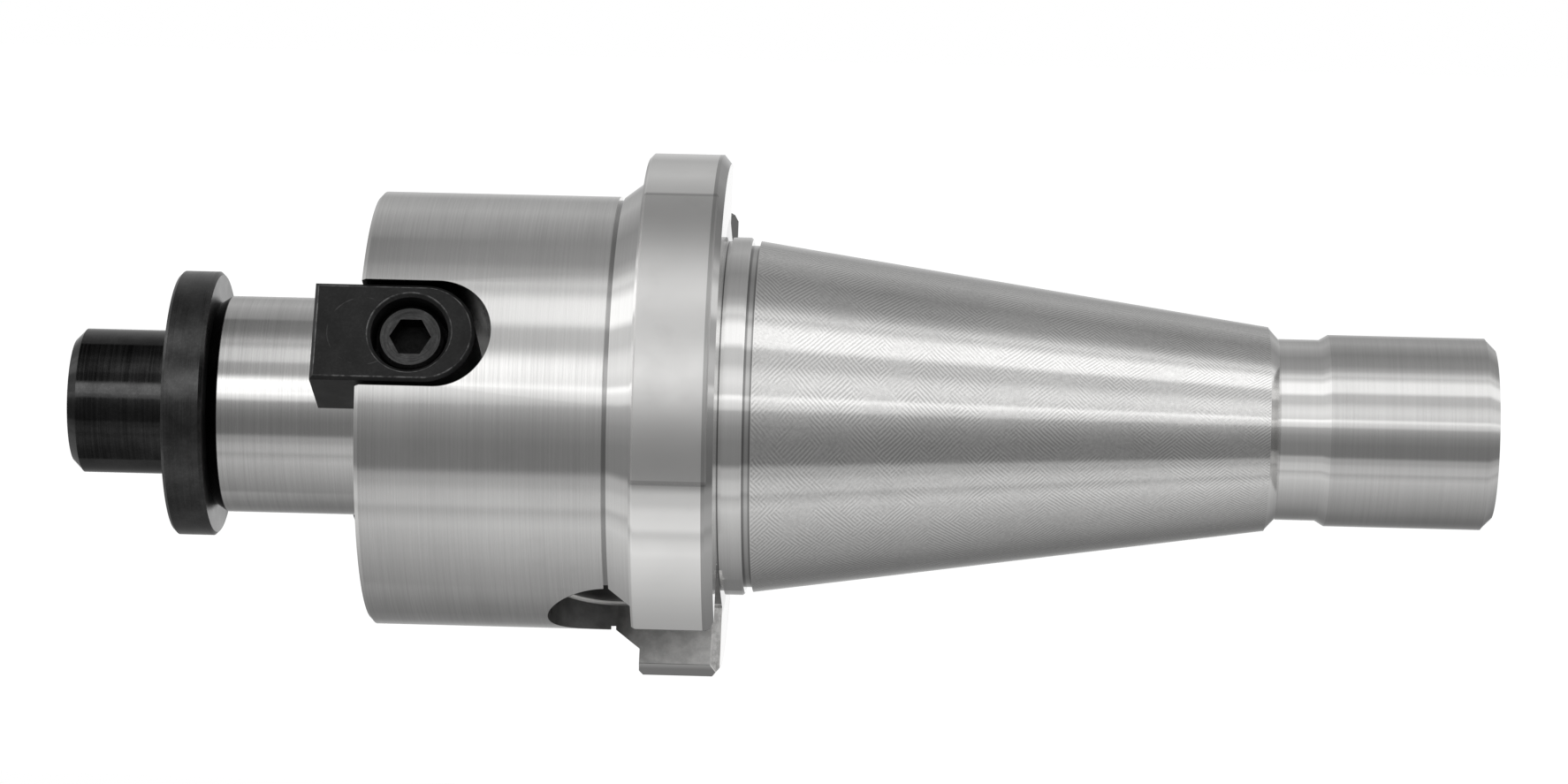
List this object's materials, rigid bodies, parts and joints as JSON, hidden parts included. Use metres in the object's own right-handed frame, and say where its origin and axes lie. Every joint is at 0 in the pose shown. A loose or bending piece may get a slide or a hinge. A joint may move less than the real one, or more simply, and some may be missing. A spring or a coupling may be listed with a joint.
{
  "type": "shell mill arbor",
  "caption": "Steep-taper arbor that carries a shell mill on a keyed pilot, held by a disc and a socket head screw, with a slotted drive flange.",
  "frame": {"origin": "on the axis at the gauge plane of the taper", "axes": "+X along the axis towards the drawbar end, +Z towards the upper front drive key, the spindle's drive slots face +Y and -Y"},
  "size_m": [0.1764, 0.0624, 0.065],
  "materials": {
    "ground_steel": "hardened steel, ground and fine turned",
    "black_oxide_steel": "blackened steel, satin",
    "black_oxide_screw": "blackened alloy steel screw, satin"
  },
  "bodies": {
    "arbor": {"arbor_body": "ground_steel", "drive_key_upper": "black_oxide_steel", "drive_key_lower": "black_oxide_steel", "key_screw_upper": "black_oxide_screw", "key_screw_lower": "black_oxide_screw"},
    "disc": {"retaining_disc": "black_oxide_steel"},
    "screw": {"retaining_screw": "black_oxide_screw"}
  },
  "joints": [
    {"name": "disc_travel", "type": "slide", "parent": "arbor", "child": "disc", "axis": [-1, 0, 0], "range_m": [0, 0.0245]},
    {"name": "screw_turn", "type": "hinge", "parent": "disc", "child": "screw", "pos_m": [-0.07, 0, 0], "axis": [-1, 0, 0], "range_deg": [0, 5040]}
  ],
  "couplings": [
    {"joint": "disc_travel", "follows": "screw_turn", "m_per_rad": 0.00027852}
  ]
}
